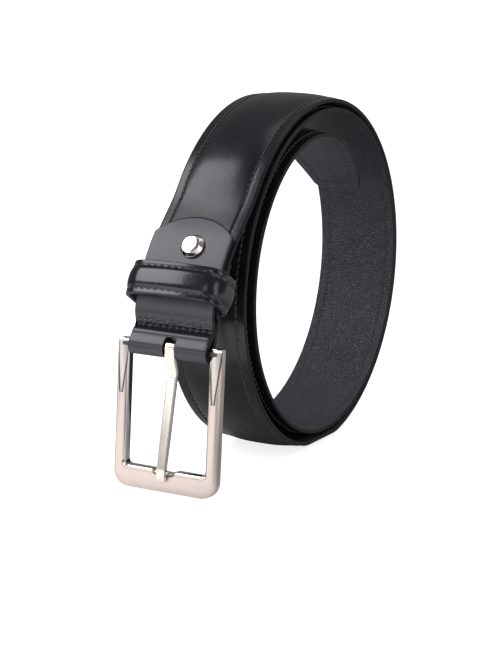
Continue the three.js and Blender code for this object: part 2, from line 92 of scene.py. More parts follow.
def soft_min(a, b, blend):
    """The smaller of two lengths, rounded off where they meet."""
    h = np.maximum(blend - np.abs(a - b), 0) / blend
    return np.minimum(a, b) - h * h * blend / 4


def lining_radius(deg):
    """Radius of the lining's face. The outer turn is flat where the roll rests."""
    peel = PEEL_OUT * (1 - ramp(deg, PEEL_FROM, PEEL_SPAN))
    peel += FLARE_OUT * (1 - ramp(deg, FLARE_FROM, FLARE_SPAN))
    step = STEP_IN * ramp(deg, STEP_FROM, STEP_SPAN)
    dip = DIP_IN * np.exp(-(((deg - DIP_AT) / DIP_SPAN) ** 2))
    r = START_RADIUS - TURN_PITCH * deg / 360 + peel - step - dip
    low = np.abs(deg - DOWN) <= REST_SPAN
    flat = (CENTRE_Z - EDGE - DOME) / np.cos(np.radians(np.where(low, deg - DOWN, 0)))
    return np.where(low, soft_min(r, flat, REST_BLEND), r)


_deg = np.arange(START_DEG, END_DEG + 0.05, 0.1)
_r = lining_radius(_deg)
_y = -_r * np.cos(np.radians(_deg))
_z = CENTRE_Z + _r * np.sin(np.radians(_deg))
_arc = np.concatenate([[0], np.cumsum(np.hypot(np.diff(_y), np.diff(_z)))])
LENGTH = float(_arc[-1])
_ty, _tz = np.gradient(_y), np.gradient(_z)
_n = np.hypot(_ty, _tz)
_ty, _tz = _ty / _n, _tz / _n
for _ in range(2):
    _ty = np.convolve(np.pad(_ty, 4, "edge"), np.ones(9) / 9, "valid")
    _tz = np.convolve(np.pad(_tz, 4, "edge"), np.ones(9) / 9, "valid")


def at(along):
    """y, z, tangent y, tangent z and sideways drift of the lining face, mm."""
    a = np.asarray(along, float)
    over = a - np.clip(a, 0, LENGTH)
    ty, tz = np.interp(a, _arc, _ty), np.interp(a, _arc, _tz)
    y = np.interp(a, _arc, _y) + ty * over
    z = np.interp(a, _arc, _z) + tz * over
    return y, z, ty, tz, TURN_DRIFT * np.interp(a, _arc, _deg) / 360


def as_arrays(*values):
    return np.broadcast_arrays(*(np.asarray(v, float) for v in values))


def roll(across, along, above):
    """A point of the flat strap, rolled up, in metres. Arrays broadcast."""
    across, along, above = as_arrays(across, along, above)
    y, z, ty, tz, drift = at(along)
    return np.stack([across + drift, y - tz * above, z + ty * above], -1) * MM


# ---------------------------------------------------------------- mesh helpers
def make(name, verts, faces, material, angle=40, edge=None, edge_faces=()):
    """A smooth-shaded mesh object. edge_faces take the second material."""
    mesh = bpy.data.meshes.new(name)
    mesh.from_pydata([tuple(v) for v in verts], [], [tuple(f) for f in faces])
    mesh.materials.append(material)
    if edge:
        mesh.materials.append(edge)
        numbers = np.isin(np.arange(len(faces)), edge_faces).astype(np.int32)
        mesh.polygons.foreach_set("material_index", numbers)
    mesh.update()
    bm = bmesh.new()
    bm.from_mesh(mesh)
    bmesh.ops.remove_doubles(bm, verts=bm.verts, dist=1e-6)
    bmesh.ops.recalc_face_normals(bm, faces=bm.faces)
    bm.to_mesh(mesh)
    bm.free()
    mesh.shade_smooth()
    mesh.set_sharp_from_angle(angle=math.radians(angle))
    obj = bpy.data.objects.new(name, mesh)
    bpy.context.scene.collection.objects.link(obj)
    return obj


def banded(stations_count, points, first, last):
    """Face numbers of a loft whose section index lies in first..last."""
    rows = np.arange(stations_count - 1)[:, None] * points
    return (rows + np.arange(first, last + 1)[None, :]).ravel()


def carve(obj, cutters):
    """Cuts the solids out of obj and keeps its name and materials."""
    for cutter in cutters:
        mod = obj.modifiers.new("cut", "BOOLEAN")
        mod.object = cutter
        mod.operation = "DIFFERENCE"
        mod.solver = "MANIFOLD"
    bpy.context.view_layer.update()
    graph = bpy.context.evaluated_depsgraph_get()
    mesh = bpy.data.meshes.new_from_object(obj.evaluated_get(graph))
    obj.modifiers.clear()
    obj.data = mesh
    for cutter in cutters:
        bpy.data.objects.remove(cutter)


def loft(rings, caps=True):
    """Quads between closed rings of equal count. rings is (stations, points, 3)."""
    rings = np.asarray(rings, float)
    s, p, _ = rings.shape
    faces = []
    for i in range(s - 1):
        for j in range(p):
            k = (j + 1) % p
            faces.append((i * p + j, i * p + k, (i + 1) * p + k, (i + 1) * p + j))
    if caps:
        faces.append(tuple(range(p))[::-1])
        faces.append(tuple((s - 1) * p + j for j in range(p)))
    return rings.reshape(-1, 3), faces


def join_parts(parts):
    """One list of verts and faces from several."""
    verts, faces, count = [], [], 0
    for v, f in parts:
        verts.append(np.asarray(v))
        faces.extend(tuple(i + count for i in face) for face in f)
        count += len(v)
    return np.concatenate(verts), faces


def attribute(obj, name, values_at):
    """Stores a per-vertex number computed from the vertex positions."""
    co = np.empty(len(obj.data.vertices) * 3)
    obj.data.vertices.foreach_get("co", co)
    layer = obj.data.attributes.new(name, "FLOAT", "POINT")
    layer.data.foreach_set("value", values_at(co.reshape(-1, 3)).astype(np.float32))


def link(tree, a, b):
    tree.links.new(a, b)


def shader(
    name, base, roughness, metallic=0.0, coat=0.0, coat_rough=0.1, spec=0.5, sheen=0.0, tint=(1, 1, 1)
):
    m = bpy.data.materials.new(name)
    m.use_nodes = True
    b = m.node_tree.nodes["Principled BSDF"]
    b.inputs["Base Color"].default_value = (*base, 1)
    b.inputs["Roughness"].default_value = roughness
    b.inputs["Metallic"].default_value = metallic
    b.inputs["Coat Weight"].default_value = coat
    b.inputs["Coat Roughness"].default_value = coat_rough
    b.inputs["Specular IOR Level"].default_value = spec
    b.inputs["Sheen Weight"].default_value = sheen
    b.inputs["Specular Tint"].default_value = (*tint, 1)
    return m, m.node_tree, b


def node(tree, kind, **values):
    n = tree.nodes.new(kind)
    for key, v in values.items():
        if key in n.inputs:
            n.inputs[key].default_value = v
        else:
            setattr(n, key, v)
    return n


def coords(tree, scale=(1, 1, 1)):
    """Object coordinates, in metres."""
    t = node(tree, "ShaderNodeTexCoord")
    m = node(tree, "ShaderNodeMapping")
    m.inputs["Scale"].default_value = scale
    link(tree, t.outputs["Object"], m.inputs["Vector"])
    return m.outputs["Vector"]


def curve(tree, source, points):
    """A colour ramp on source. points are (position, colour)."""
    n = node(tree, "ShaderNodeValToRGB")
    e = n.color_ramp.elements
    while len(e) < len(points):
        e.new(0.5)
    for k, (pos, c) in enumerate(points):
        e[k].position = pos
        e[k].color = (*c, 1)
    link(tree, source, n.inputs["Fac"])
    return n.outputs["Color"]


def bumps(tree, b, layers):
    """Stacks height fields as bump: each is (socket, strength, distance)."""
    normal = None
    for height, strength, distance in layers:
        n = node(tree, "ShaderNodeBump")
        n.inputs["Strength"].default_value = strength
        n.inputs["Distance"].default_value = distance
        link(tree, height, n.inputs["Height"])
        if normal:
            link(tree, normal, n.inputs["Normal"])
        normal = n.outputs["Normal"]
    link(tree, normal, b.inputs["Normal"])


def grey(v):
    return (v, v, v)


# ---------------------------------------------------------------- materials
LEATHER_TINT = (0.97, 0.93, 1.0)


def leather(
    name, base, lighter, rough, spread, grain, depth, crease, coat, coat_rough, spec, crest=0.00012, drawn=0.0
):
    """Grained leather with pores and soft folds. drawn is its roughness where it is puckered."""
    m, t, b = shader(name, base, rough, coat=coat, coat_rough=coat_rough, spec=spec, tint=LEATHER_TINT)
    v = coords(t)
    cells = node(t, "ShaderNodeTexVoronoi", Scale=grain, feature="DISTANCE_TO_EDGE")
    warp = node(t, "ShaderNodeTexNoise", Scale=grain * 0.5, Detail=2.0)
    mix = node(t, "ShaderNodeMix", data_type="VECTOR")
    mix.inputs["Factor"].default_value = 0.0012
    link(t, v, warp.inputs["Vector"])
    link(t, v, mix.inputs[4])
    link(t, warp.outputs["Color"], mix.inputs[5])
    link(t, mix.outputs[1], cells.inputs["Vector"])
    cell_height = curve(t, cells.outputs["Distance"], [(0.0, grey(0)), (0.22, grey(0.8)), (0.5, grey(1))])
    folds = node(t, "ShaderNodeTexNoise", Scale=70.0, Detail=6.0, Roughness=0.6)
    link(t, v, folds.inputs["Vector"])
    pores = node(t, "ShaderNodeTexNoise", Scale=2600.0, Detail=3.0)
    link(t, v, pores.inputs["Vector"])
    cloud = node(t, "ShaderNodeTexNoise", Scale=38.0, Detail=5.0, Roughness=0.6)
    link(t, v, cloud.inputs["Vector"])
    colour = curve(t, cloud.outputs["Fac"], [(0.3, base), (0.75, lighter)])
    link(t, colour, b.inputs["Base Color"])
    low, high = rough - spread, rough + spread
    wear = curve(t, cloud.outputs["Fac"], [(0.3, grey(low)), (0.72, grey(high))])
    if drawn:
        mask = node(t, "ShaderNodeAttribute", attribute_name="drawn")
        shine = node(t, "ShaderNodeMix", data_type="FLOAT")
        link(t, mask.outputs["Fac"], shine.inputs[0])
        link(t, wear, shine.inputs[2])
        shine.inputs[3].default_value = drawn
        wear = shine.outputs[0]
    link(t, wear, b.inputs["Roughness"])
    bumps(t, b, [
        (folds.outputs["Fac"], crease, 0.0006),
        (cell_height, depth, crest),
        (pores.outputs["Fac"], depth * 0.4, 0.00005),
    ])
    return m


glossy = leather(
    "glossy_leather", (0.0066, 0.006, 0.0092), (0.0108, 0.0098, 0.0148), rough=0.27, spread=0.05,
    grain=900.0, depth=0.12, crease=0.16, coat=0.25, coat_rough=0.2, spec=0.4,
)
keeper_gloss = leather(
    "keeper_leather", (0.0062, 0.0057, 0.0086), (0.0104, 0.0095, 0.014), rough=0.17, spread=0.04,
    grain=900.0, depth=0.1, crease=0.14, coat=0.3, coat_rough=0.06, spec=0.4,
)
pebble = leather(
    "lining_leather", (0.035, 0.033, 0.043), (0.068, 0.064, 0.082), rough=0.38, spread=0.06,
    grain=900.0, depth=1.0, crease=0.12, coat=0.0, coat_rough=0.3, spec=0.5, crest=0.0003,
)
satin = leather(
    "tab_leather", (0.0132, 0.0122, 0.0175), (0.022, 0.0205, 0.029), rough=0.31, spread=0.04,
    grain=1500.0, depth=0.08, crease=0.1, coat=0.15, coat_rough=0.15, spec=0.6, drawn=0.13,
)


def plain(name, base, lighter, rough, scale, strength, distance, spec=0.5):
    """A mottled matt finish with a fine surface noise."""
    m, t, b = shader(name, base, rough, spec=spec)
    v = coords(t)
    n = node(t, "ShaderNodeTexNoise", Scale=scale, Detail=5.0)
    link(t, v, n.inputs["Vector"])
    link(t, curve(t, n.outputs["Fac"], [(0.3, base), (0.75, lighter)]), b.inputs["Base Color"])
    bumps(t, b, [(n.outputs["Fac"], strength, distance)])
    return m


edge_paint = plain(
    "edge_paint", (0.005, 0.005, 0.006), (0.011, 0.011, 0.013), 0.45, 500.0, 0.25, 0.00008, spec=0.25
)
fibre = plain("pressed_fibre", (0.16, 0.14, 0.12), (0.26, 0.23, 0.2), 0.9, 900.0, 0.6, 0.0002)


def thread_material():
    """Waxed thread, with bands for its twist."""
    m, t, b = shader("waxed_thread", (0.012, 0.012, 0.015), 0.38, sheen=0.15)
    v = coords(t)
    w = node(t, "ShaderNodeTexWave", Scale=900.0, Distortion=1.5)
    link(t, v, w.inputs["Vector"])
    twist = curve(t, w.outputs["Fac"], [(0.2, (0.015, 0.015, 0.018)), (0.8, (0.06, 0.062, 0.07))])
    link(t, twist, b.inputs["Base Color"])
    bumps(t, b, [(w.outputs["Fac"], 0.5, 0.00008)])
    return m


thread = thread_material()


def metal(name, base, darker, rough, spread, grain=0.03):
    """Plated or plain metal, lightly clouded."""
    m, t, b = shader(name, base, rough, metallic=1.0)
    v = coords(t)
    n = node(t, "ShaderNodeTexNoise", Scale=160.0, Detail=8.0, Roughness=0.7)
    link(t, v, n.inputs["Vector"])
    link(t, curve(t, n.outputs["Fac"], [(0.35, darker), (0.6, base)]), b.inputs["Base Color"])
    lo, hi = rough - spread, rough + spread
    link(t, curve(t, n.outputs["Fac"], [(0.3, grey(lo)), (0.7, grey(hi))]), b.inputs["Roughness"])
    bumps(t, b, [(n.outputs["Fac"], grain, 0.00005)])
    return m


polished = metal("polished_nickel", (0.86, 0.82, 0.78), (0.8, 0.76, 0.72), 0.1, 0.02)
steel = metal("plain_steel", (0.45, 0.45, 0.46), (0.36, 0.36, 0.37), 0.35, 0.06)
# painted shade: the bar's plain steel is given a near-black colour so that where it shows between the tab's
# fold and the frame it reads as shade
painted_shade_steel = metal("painted_shade_steel_wire", (0.1, 0.1, 0.105), (0.07, 0.07, 0.075), 0.45, 0.06)

# ---------------------------------------------------------------- strap
PITCH = 2.6  # of the stitches down the margins
ROW_INSET = 3.9
ROW = HALF - ROW_INSET
GROOVE = 0.42
CROWN_HALF, CROWN_FLAT = 12.6, 11.6
TAPER, TIP_HALF, TIP = 50.0, 10.1, 3.0
MARGIN = HALF - CROWN_FLAT
TIP_ROW = LENGTH - ROW_INSET
ROW_TURN = 2.0  # the rows stop this far from the one across the tongue's end
HOLE_COUNT, HOLE_SPACING, HOLE_TO_TIP, HOLE_RADIUS = 5, 25, 95, 2.2
STUD_ALONG, STUD_ACROSS = 24.7, 1.9


def dome(x):
    """Height of the padded crown across the strap."""
    t = np.clip(np.abs(x) / CROWN_HALF, 0, 1)
    return DOME * (1 - t ** 2.7) ** 0.85


def padding(along):
    """Share of the full padding along the strap, thinned at both ends."""
    return 0.08 + 0.92 * ramp(along, 37.5, 30) * ramp(LENGTH - along, 20, 25)


def half_at(along):
    """Half the strap's width, tapering to the tongue's blunt end."""
    t = np.clip((LENGTH - np.asarray(along, float)) / TAPER, 0, 1)
    return TIP_HALF + (HALF - TIP_HALF) * (1 - (1 - t) ** 1.8)


def across_at(x, along):
    """A section's place across, squeezed with the taper, its margins kept."""
    t = np.clip(1 - (LENGTH - along) / TIP, 0, 1)
    edge = half_at(along) - TIP * (1 - np.sqrt(1 - t * t))
    inner = x * (edge - MARGIN) / (HALF - MARGIN)
    return np.where(np.abs(x) > HALF - MARGIN, np.sign(x) * (edge - HALF + np.abs(x)), inner)


tip_arc = LENGTH - TIP * (1 - np.sin(np.linspace(0, math.pi / 2, 10)))
stations = np.concatenate([
    np.arange(0, LENGTH - 6, PITCH / 3), np.linspace(LENGTH - 5.4, LENGTH - TIP, 10), tip_arc[1:],
])


def channel(x, along, depth):
    """The groove that the rows of stitches lie in, deepest at the holes."""
    near = np.exp(-(((np.abs(x) - ROW) / GROOVE) ** 2)) * (along < TIP_ROW - 0.6)
    end = np.exp(-(((along - TIP_ROW) / GROOVE) ** 2)) * (np.abs(x) < ROW - 0.6)
    pit = np.abs(np.cos(math.pi * along / PITCH)) ** 6
    return -depth * (near * (0.45 + 0.55 * pit) + 0.6 * end)


def mirrored(half):
    return np.concatenate([-half[::-1], half[1:]])


skin_xs = mirrored(np.concatenate([
    np.linspace(0, CROWN_FLAT, 10), [12.1, 12.4, 12.7, 13.0, 13.25, 13.45, 13.6],
    [13.75, 13.95, 14.2, 14.6, 15.6, 16.6, 17.05],
]))
lining_xs = mirrored(np.concatenate([
    np.linspace(0, CROWN_HALF, 6), [13.1, 13.35, 13.6, 13.85, 14.1, 14.6, 16.4, 17.0],
]))
EDGE_X = np.array([17.22, 17.4, 17.49, 17.5, 17.5])


def plate_ring(xs_in, heights, rim, back_h, along):
    """One closed section: a worked face, rounded painted edges and a plain back."""
    x = np.concatenate([xs_in, EDGE_X, [8.0, -8.0], -EDGE_X[::-1]])
    h = np.concatenate([heights, rim, [back_h, back_h], rim[::-1]])
    return roll(across_at(x, along), along, h)


def plate(name, xs_in, heights_at, rim, back_h, material):
    """A whole ply of the strap, punched, with painted edges and ends."""
    rings = [plate_ring(xs_in, heights_at(a), rim, back_h, a) for a in stations]
    verts, faces = loft(rings)
    n, count = len(xs_in), len(rings[0])
    bands = np.concatenate([
        banded(len(rings), count, n, n + len(EDGE_X) - 1),
        banded(len(rings), count, n + len(EDGE_X) + 1, count - 2),
        [len(faces) - 2, len(faces) - 1],
    ])
    obj = make(name, verts, faces, material, 50, edge_paint, bands)
    carve(obj, [punch(name)])
    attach(obj, "strap")
    return obj


def rod(along, radius, low, high, across=0.0, sides=28):
    """Verts and faces of a round punch through the strap."""
    y, z, ty, tz, drift = (float(v) for v in at(along))
    rings = []
    for h in (low, high):
        ring = []
        for k in range(sides):
            t = 2 * math.pi * k / sides
            u = radius * math.sin(t)
            ring.append((across + drift + radius * math.cos(t), y - tz * h + ty * u, z + ty * h + tz * u))
        rings.append(ring)
    return loft(np.array(rings) * MM)


def hole_rods():
    places = [LENGTH - HOLE_TO_TIP - HOLE_SPACING * k for k in range(HOLE_COUNT)]
    return [rod(place, HOLE_RADIUS, -1.2, 4.4) for place in places]


def punch(name):
    rods = hole_rods() + [rod(STUD_ALONG, 2.1, -3.2, 5.2, STUD_ACROSS)]
    return make(name + "_punch", *join_parts(rods), edge_paint)


ROLL_OFF, ROLL_OFF_FROM = 0.34, 12.2
roll_off = ROLL_OFF * np.clip((np.abs(skin_xs) - ROLL_OFF_FROM) / (HALF - ROLL_OFF_FROM), 0, 1) ** 1.4


def skin_heights(along):
    return EDGE - roll_off + padding(along) * dome(skin_xs) + channel(skin_xs, along, 0.3)


def lining_heights(along):
    return -channel(lining_xs, along, 0.22)


skin = plate("strap_skin", skin_xs, skin_heights, np.array([1.54, 1.46, 1.35, 1.22, 0.98]), 0.98, glossy)
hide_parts("strap_leather")

lining_rim = np.array([0.03, 0.14, 0.3, 0.5, 0.95])
lining = plate("strap_lining_skin", lining_xs, lining_heights, lining_rim, 0.95, pebble)
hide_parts("strap_lining")


def fibre_ring(along):
    """The padding's section: flat on the lining side, crowned on the other."""
    x = np.linspace(-CROWN_FLAT, CROWN_FLAT, 15)
    top = 1.0 + padding(along) * dome(x) - 0.1
    x = across_at(np.concatenate([x, [CROWN_FLAT, -CROWN_FLAT]]), along)
    return roll(x, along, np.concatenate([np.maximum(top, 0.96), [0.955, 0.955]]))


fv, ff = loft([fibre_ring(a) for a in np.arange(56, LENGTH - 35, 3.0)])
filler = make("strap_padding", fv, ff, fibre)
carve(filler, [make("padding_punch", *join_parts(hole_rods()), fibre)])
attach(filler, "strap")
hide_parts("strap_filler")


def stitch(across, along, length, above, radius, skew=0.0, sides=6, place=roll, dip=0.28):
    """A rounded stitch along the strap whose ends sink into the leather."""
    rings = []
    n = 7
    for k in range(n):
        u = k / (n - 1)
        s = (u - 0.5) * length
        swell = math.sin(math.pi * min(max(u, 0.04), 0.96)) ** 0.45
        lift = above - dip * (abs(2 * u - 1) ** 3)
        ring = []
        for j in range(sides):
            a = 2 * math.pi * j / sides
            x = across + skew * (u - 0.5) + radius * swell * math.cos(a)
            ring.append((x, along + s, lift + radius * 0.8 * swell * math.sin(a)))
        rings.append(ring)
    r = np.array(rings)
    return loft(place(r[..., 0], r[..., 1], r[..., 2]))


def flat_place(x, y, z):
    """Leaves a stitch flat, to be laid on a path afterwards."""
    return np.stack([x, y, z], -1)


parts = []
first = math.ceil(46.0 / PITCH)
last = int((TIP_ROW - ROW_TURN) / PITCH)
for k in range(first, last):
    a = (k + 0.5) * PITCH
    row = float(half_at(a)) - ROW_INSET
    slope = float(half_at(a + 1) - half_at(a - 1)) / 2
    for sgn in (-1, 1):
        wob = rng.normal(0, 0.05, 2)
        skew = sgn * slope * PITCH
        parts.append(stitch(sgn * row + wob[0], a, PITCH * 0.84 + wob[1], EDGE - 0.02, 0.4, skew + 0.3))
        parts.append(stitch(sgn * row, a, PITCH * 0.8, 0.0, 0.34, skew + 0.15, 5, dip=-0.2))
# across the tongue's end
end_half = float(half_at(TIP_ROW)) - ROW_INSET - 0.4
for k in range(5):
    x0 = end_half * (0.4 * k - 0.8)
    for level, radius, dip in ((EDGE - 0.02, 0.4, 0.28), (0.0, 0.34, -0.2)):
        verts, faces = stitch(0, 0, end_half * 0.36, level, radius, 0.2, 6, place=flat_place, dip=dip)
        parts.append((roll(x0 + verts[:, 1], TIP_ROW + verts[:, 0], verts[:, 2]), faces))
sv, sf = join_parts(parts)
stitches = make("strap_thread", sv, sf, thread, angle=180)
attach(stitches, "strap")
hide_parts("strap_stitching")

# ---------------------------------------------------------------- buckle tab
BAR_Y, BAR_Z, BAR_RADIUS = -93.1, 54.993, 1.5
TAB_T, TAB_HALF, TAB_GAP = 2.0, 16.9, 0.25
TAB_TOP, FRONT_STEP, BACK_FROM, BACK_STEP = 37.8, 6.3, 1.1, 6.8
PINCH_Y, PINCH_Z, PINCH_GAP = -89.3, 62.6, 0.3
CROSS_PITCH = 2.9
TAB_COLS = 140
ARC_R, ARC_FADE, BACK_ARC_FADE = 21.5, 24, 20  # the tab's arched ends, and how far the arch fades


def layer_point(along, sgn):
    """On the tab's middle line where it lies on the strap's front or back."""
    y, z, ty, tz, _ = at(along)
    reach = EDGE / 2 + sgn * (EDGE / 2 + TAB_GAP + TAB_T / 2)
    return (float(y - tz * reach), float(z + ty * reach))


def fold_point(deg):
    """On the tab's middle line round the bar."""
    a = math.radians(deg)
    r = BAR_RADIUS + TAB_GAP + TAB_T / 2
    return (BAR_Y - r * math.cos(a), BAR_Z + r * math.sin(a))


def pinch_point(sgn):
    """On the tab's middle line where the cross row draws the fold together."""
    return (PINCH_Y - sgn * (TAB_T + PINCH_GAP) / 2, PINCH_Z)


tab_points = [layer_point(TAB_TOP - FRONT_STEP * k, 1) for k in range(7)]
tab_points.append(pinch_point(1))
tab_points += [fold_point(d) for d in (32, -10, -55, -100, -145, -178)]
tab_points.append(pinch_point(-1))
tab_points += [layer_point(BACK_FROM + BACK_STEP * k, -1) for k in range(5)]


def smooth_path(points, n):
    """Centripetal Catmull-Rom through the points, n even steps."""
    p = np.array(points, float)
    p = np.vstack([2 * p[0] - p[1], p, 2 * p[-1] - p[-2]])
    out = []
    for i in range(1, len(p) - 2):
        q = p[i - 1:i + 3]
        d = [max(np.linalg.norm(q[k + 1] - q[k]) ** 0.5, 1e-4) for k in range(3)]
        m1 = ((q[1] - q[0]) / d[0] - (q[2] - q[0]) / (d[0] + d[1]) + (q[2] - q[1]) / d[1]) * d[1]
        m2 = ((q[2] - q[1]) / d[1] - (q[3] - q[1]) / (d[1] + d[2]) + (q[3] - q[2]) / d[2]) * d[1]
        for u in np.linspace(0, 1, 40, endpoint=False):
            h0, h1 = 2 * u ** 3 - 3 * u ** 2 + 1, u ** 3 - 2 * u ** 2 + u
            h2, h3 = -2 * u ** 3 + 3 * u ** 2, u ** 3 - u ** 2
            out.append(h0 * q[1] + h1 * m1 + h2 * q[2] + h3 * m2)
    out.append(p[-2])
    out = np.array(out)
    arc = np.concatenate([[0], np.cumsum(np.linalg.norm(np.diff(out, axis=0), axis=1))])
    even = np.linspace(0, arc[-1], n)
    return np.stack([np.interp(even, arc, out[:, k]) for k in range(out.shape[1])], 1), even


tab_line, tab_arc = smooth_path(tab_points, 400)
TAB_LEN = float(tab_arc[-1])
tab_t = np.gradient(tab_line, axis=0)
tab_t /= np.linalg.norm(tab_t, axis=1)[:, None]


def on_tab(across, along, above):
    """A point of the flat tab, folded round the bar, in metres."""
    across, along, above = as_arrays(across, along, above)
    y = np.interp(along, tab_arc, tab_line[:, 0])
    z = np.interp(along, tab_arc, tab_line[:, 1])
    ty = np.interp(along, tab_arc, tab_t[:, 0])
    tz = np.interp(along, tab_arc, tab_t[:, 1])
    return np.stack([across, y + tz * above, z - ty * above], -1) * MM


front_half = tab_arc < TAB_LEN / 2
row_along = float(tab_arc[front_half][np.argmin(np.abs(tab_line[front_half][:, 1] - PINCH_Z))])
waves = [
    (rng.normal(0, 2.2), rng.uniform(3.0, 7.0), rng.uniform(0, 6.28), rng.uniform(0.4, 1.0))
    for _ in range(22)
]


def crinkle(x, a):
    """Fine puckers that the cross stitches draw into the leather above them."""
    total = sum(w * np.sin(fx * x + fa * (a - row_along) + ph) for fx, fa, ph, w in waves)
    return 0.055 * total * np.exp(-(((a - row_along + 1.9) / 2.0) ** 2))


def stitch_pull(x, a):
    """The crease along the cross row, its needle holes, and the swell below it."""
    holes = np.abs(np.cos(math.pi * x / CROSS_PITCH)) ** 4
    below = a - row_along - 0.15
    width = np.where(below < 0, 0.75, 1.5)
    pull = np.exp(-((below / width) ** 2)) * (0.8 + 0.2 * holes)
    return 0.75 * np.exp(-(((below - 3.3) / 1.5) ** 2)) - pull


def drawn_mask(pts):
    """1 on the puckered leather round the cross row, fading to 0 away from it."""
    y, z = pts[:, 1] / MM, pts[:, 2] / MM
    front_y, row_z = np.interp(row_along, tab_arc, tab_line[:, 0]), PINCH_Z
    near = np.exp(-(((z - row_z - 1.6) / 2.6) ** 4))
    return near * (np.abs(y - front_y) < 3.5)


tab_xs = np.linspace(-TAB_HALF + 0.35, TAB_HALF - 0.35, TAB_COLS)
cut_along = np.concatenate([
    [0, 0.08, 0.22, 0.45],
    np.arange(0.8, row_along - 7, 0.5),
    np.arange(row_along - 7, row_along + 3, 0.14),
    np.linspace(row_along + 3, TAB_LEN - 0.8, 150),
    [TAB_LEN - 0.45, TAB_LEN - 0.22, TAB_LEN - 0.08, TAB_LEN],
])
thin = np.ones(len(cut_along))
thin[:4] = (0.45, 0.75, 0.9, 0.98)
thin[-4:] = thin[:4][::-1]
round_x = np.array([-0.2, -0.06, 0.0, 0.0, -0.06, -0.2]) + TAB_HALF
round_h = np.array([0.97, 0.82, 0.6, -0.6, -0.82, -0.97])
tab_x = np.concatenate([tab_xs, round_x, tab_xs[::-1], -round_x])


def tab_ring(along, thickness):
    """The sheet's section. Rows near an end bow, so that both ends are arcs."""
    h = TAB_T / 2 * thickness
    drop = ARC_R - np.sqrt(ARC_R ** 2 - tab_x ** 2)
    bow = np.clip(1 - along / ARC_FADE, 0, 1) ** 1.4
    back_bow = np.clip(1 - (TAB_LEN - along) / BACK_ARC_FADE, 0, 1) ** 1.4
    a = along + drop * bow - drop * 0.8 * back_bow
    rim = 0.12 * np.exp(-(((TAB_HALF - np.abs(tab_xs)) / 0.5) ** 2))
    face = h + crinkle(tab_xs, a[:TAB_COLS]) + stitch_pull(tab_xs, a[:TAB_COLS]) - rim
    above = np.concatenate([face, h * round_h, np.full(TAB_COLS, -h), -h * round_h])
    return on_tab(tab_x, a, above)


tab_rings = [tab_ring(a, t) for a, t in zip(cut_along, thin)]
tab_v, tab_f = loft(tab_rings)
count = len(tab_x)
tab_edges = np.concatenate([
    banded(len(tab_rings), count, TAB_COLS, TAB_COLS + 5),
    banded(len(tab_rings), count, count - 6, count - 1),
    np.arange(0, 3 * count),
])
tab = make("buckle_tab_skin", tab_v, tab_f, satin, 50, edge_paint, tab_edges)


def block(name, centre, size, bevel):
    """A box whose edges along y are rounded, in mm."""
    mesh = bpy.data.meshes.new(name)
    bm = bmesh.new()
    bmesh.ops.create_cube(bm, size=1)
    bmesh.ops.scale(bm, vec=Vector(size) * MM, verts=bm.verts)
    along_y = [e for e in bm.edges if abs(e.verts[0].co.y - e.verts[1].co.y) > 0.5 * size[1] * MM]
    bmesh.ops.bevel(bm, geom=along_y, offset=bevel * MM, segments=4, affect="EDGES", profile=0.5)
    bmesh.ops.translate(bm, vec=Vector(centre) * MM, verts=bm.verts)
    bm.to_mesh(mesh)
    bm.free()
    obj = bpy.data.objects.new(name, mesh)
    bpy.context.scene.collection.objects.link(obj)
    return obj


SLOT_X, SLOT_HALF, SLOT_TOP, SLOT_LOW = 0.8, 2.6, 59.6, 46.99
slot_middle = (SLOT_X, BAR_Y, (SLOT_TOP + SLOT_LOW) / 2)
carve(tab, [block("tab_slot", slot_middle, (2 * SLOT_HALF, 16, SLOT_TOP - SLOT_LOW), 1.0)])
tab.data.shade_smooth()
tab.data.set_sharp_from_angle(angle=math.radians(50))
attribute(tab, "drawn", drawn_mask)
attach(tab, "strap")
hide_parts("buckle_tab")


parts = []
cross_count = int((2 * TAB_HALF - 3.0) / CROSS_PITCH)
for k in range(cross_count):
    x0 = (k - (cross_count - 1) / 2) * CROSS_PITCH
    verts, faces = stitch(0, 0, 2.5, TAB_T / 2 - 0.5, 0.46, 0.7, 8, place=flat_place, dip=0.5)
    parts.append((on_tab(x0 + verts[:, 1], row_along + verts[:, 0], verts[:, 2]), faces))
tab_thread = make("tab_thread", *join_parts(parts), thread, angle=180)
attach(tab_thread, "strap")
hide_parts("tab_stitching")

# ---------------------------------------------------------------- stud
ACROSS = Vector((1, 0, 0))


def strap_basis(along, tilt=None):
    """A point of the lining's face, with its outward and upward directions."""
    y, z, ty, tz, _ = (float(v) for v in at(along))
    if tilt is not None:
        ty, tz = math.sin(math.radians(tilt)), math.cos(math.radians(tilt))
    return Vector((0, y, z)), Vector((0, -tz, ty)), Vector((0, ty, tz))


base, out, upward = strap_basis(STUD_ALONG)
base.x += STUD_ACROSS


def turned_piece(profile, sides):
    """A lathe about the stud's axis. profile is (radius, height above lining)."""
    rings = []
    for j in range(sides):
        a = 2 * math.pi * j / sides
        sideways = ACROSS * math.cos(a) + upward * math.sin(a)
        rings.append([base + out * h + sideways * r for r, h in profile])
    rings = np.array([[tuple(p * MM) for p in ring] for ring in rings])
    s_, p_, _ = rings.shape
    faces = []
    for i in range(s_):
        for j in range(p_ - 1):
            k = (i + 1) % s_
            faces.append((i * p_ + j, i * p_ + j + 1, k * p_ + j + 1, k * p_ + j))
    return rings.reshape(-1, 3), faces


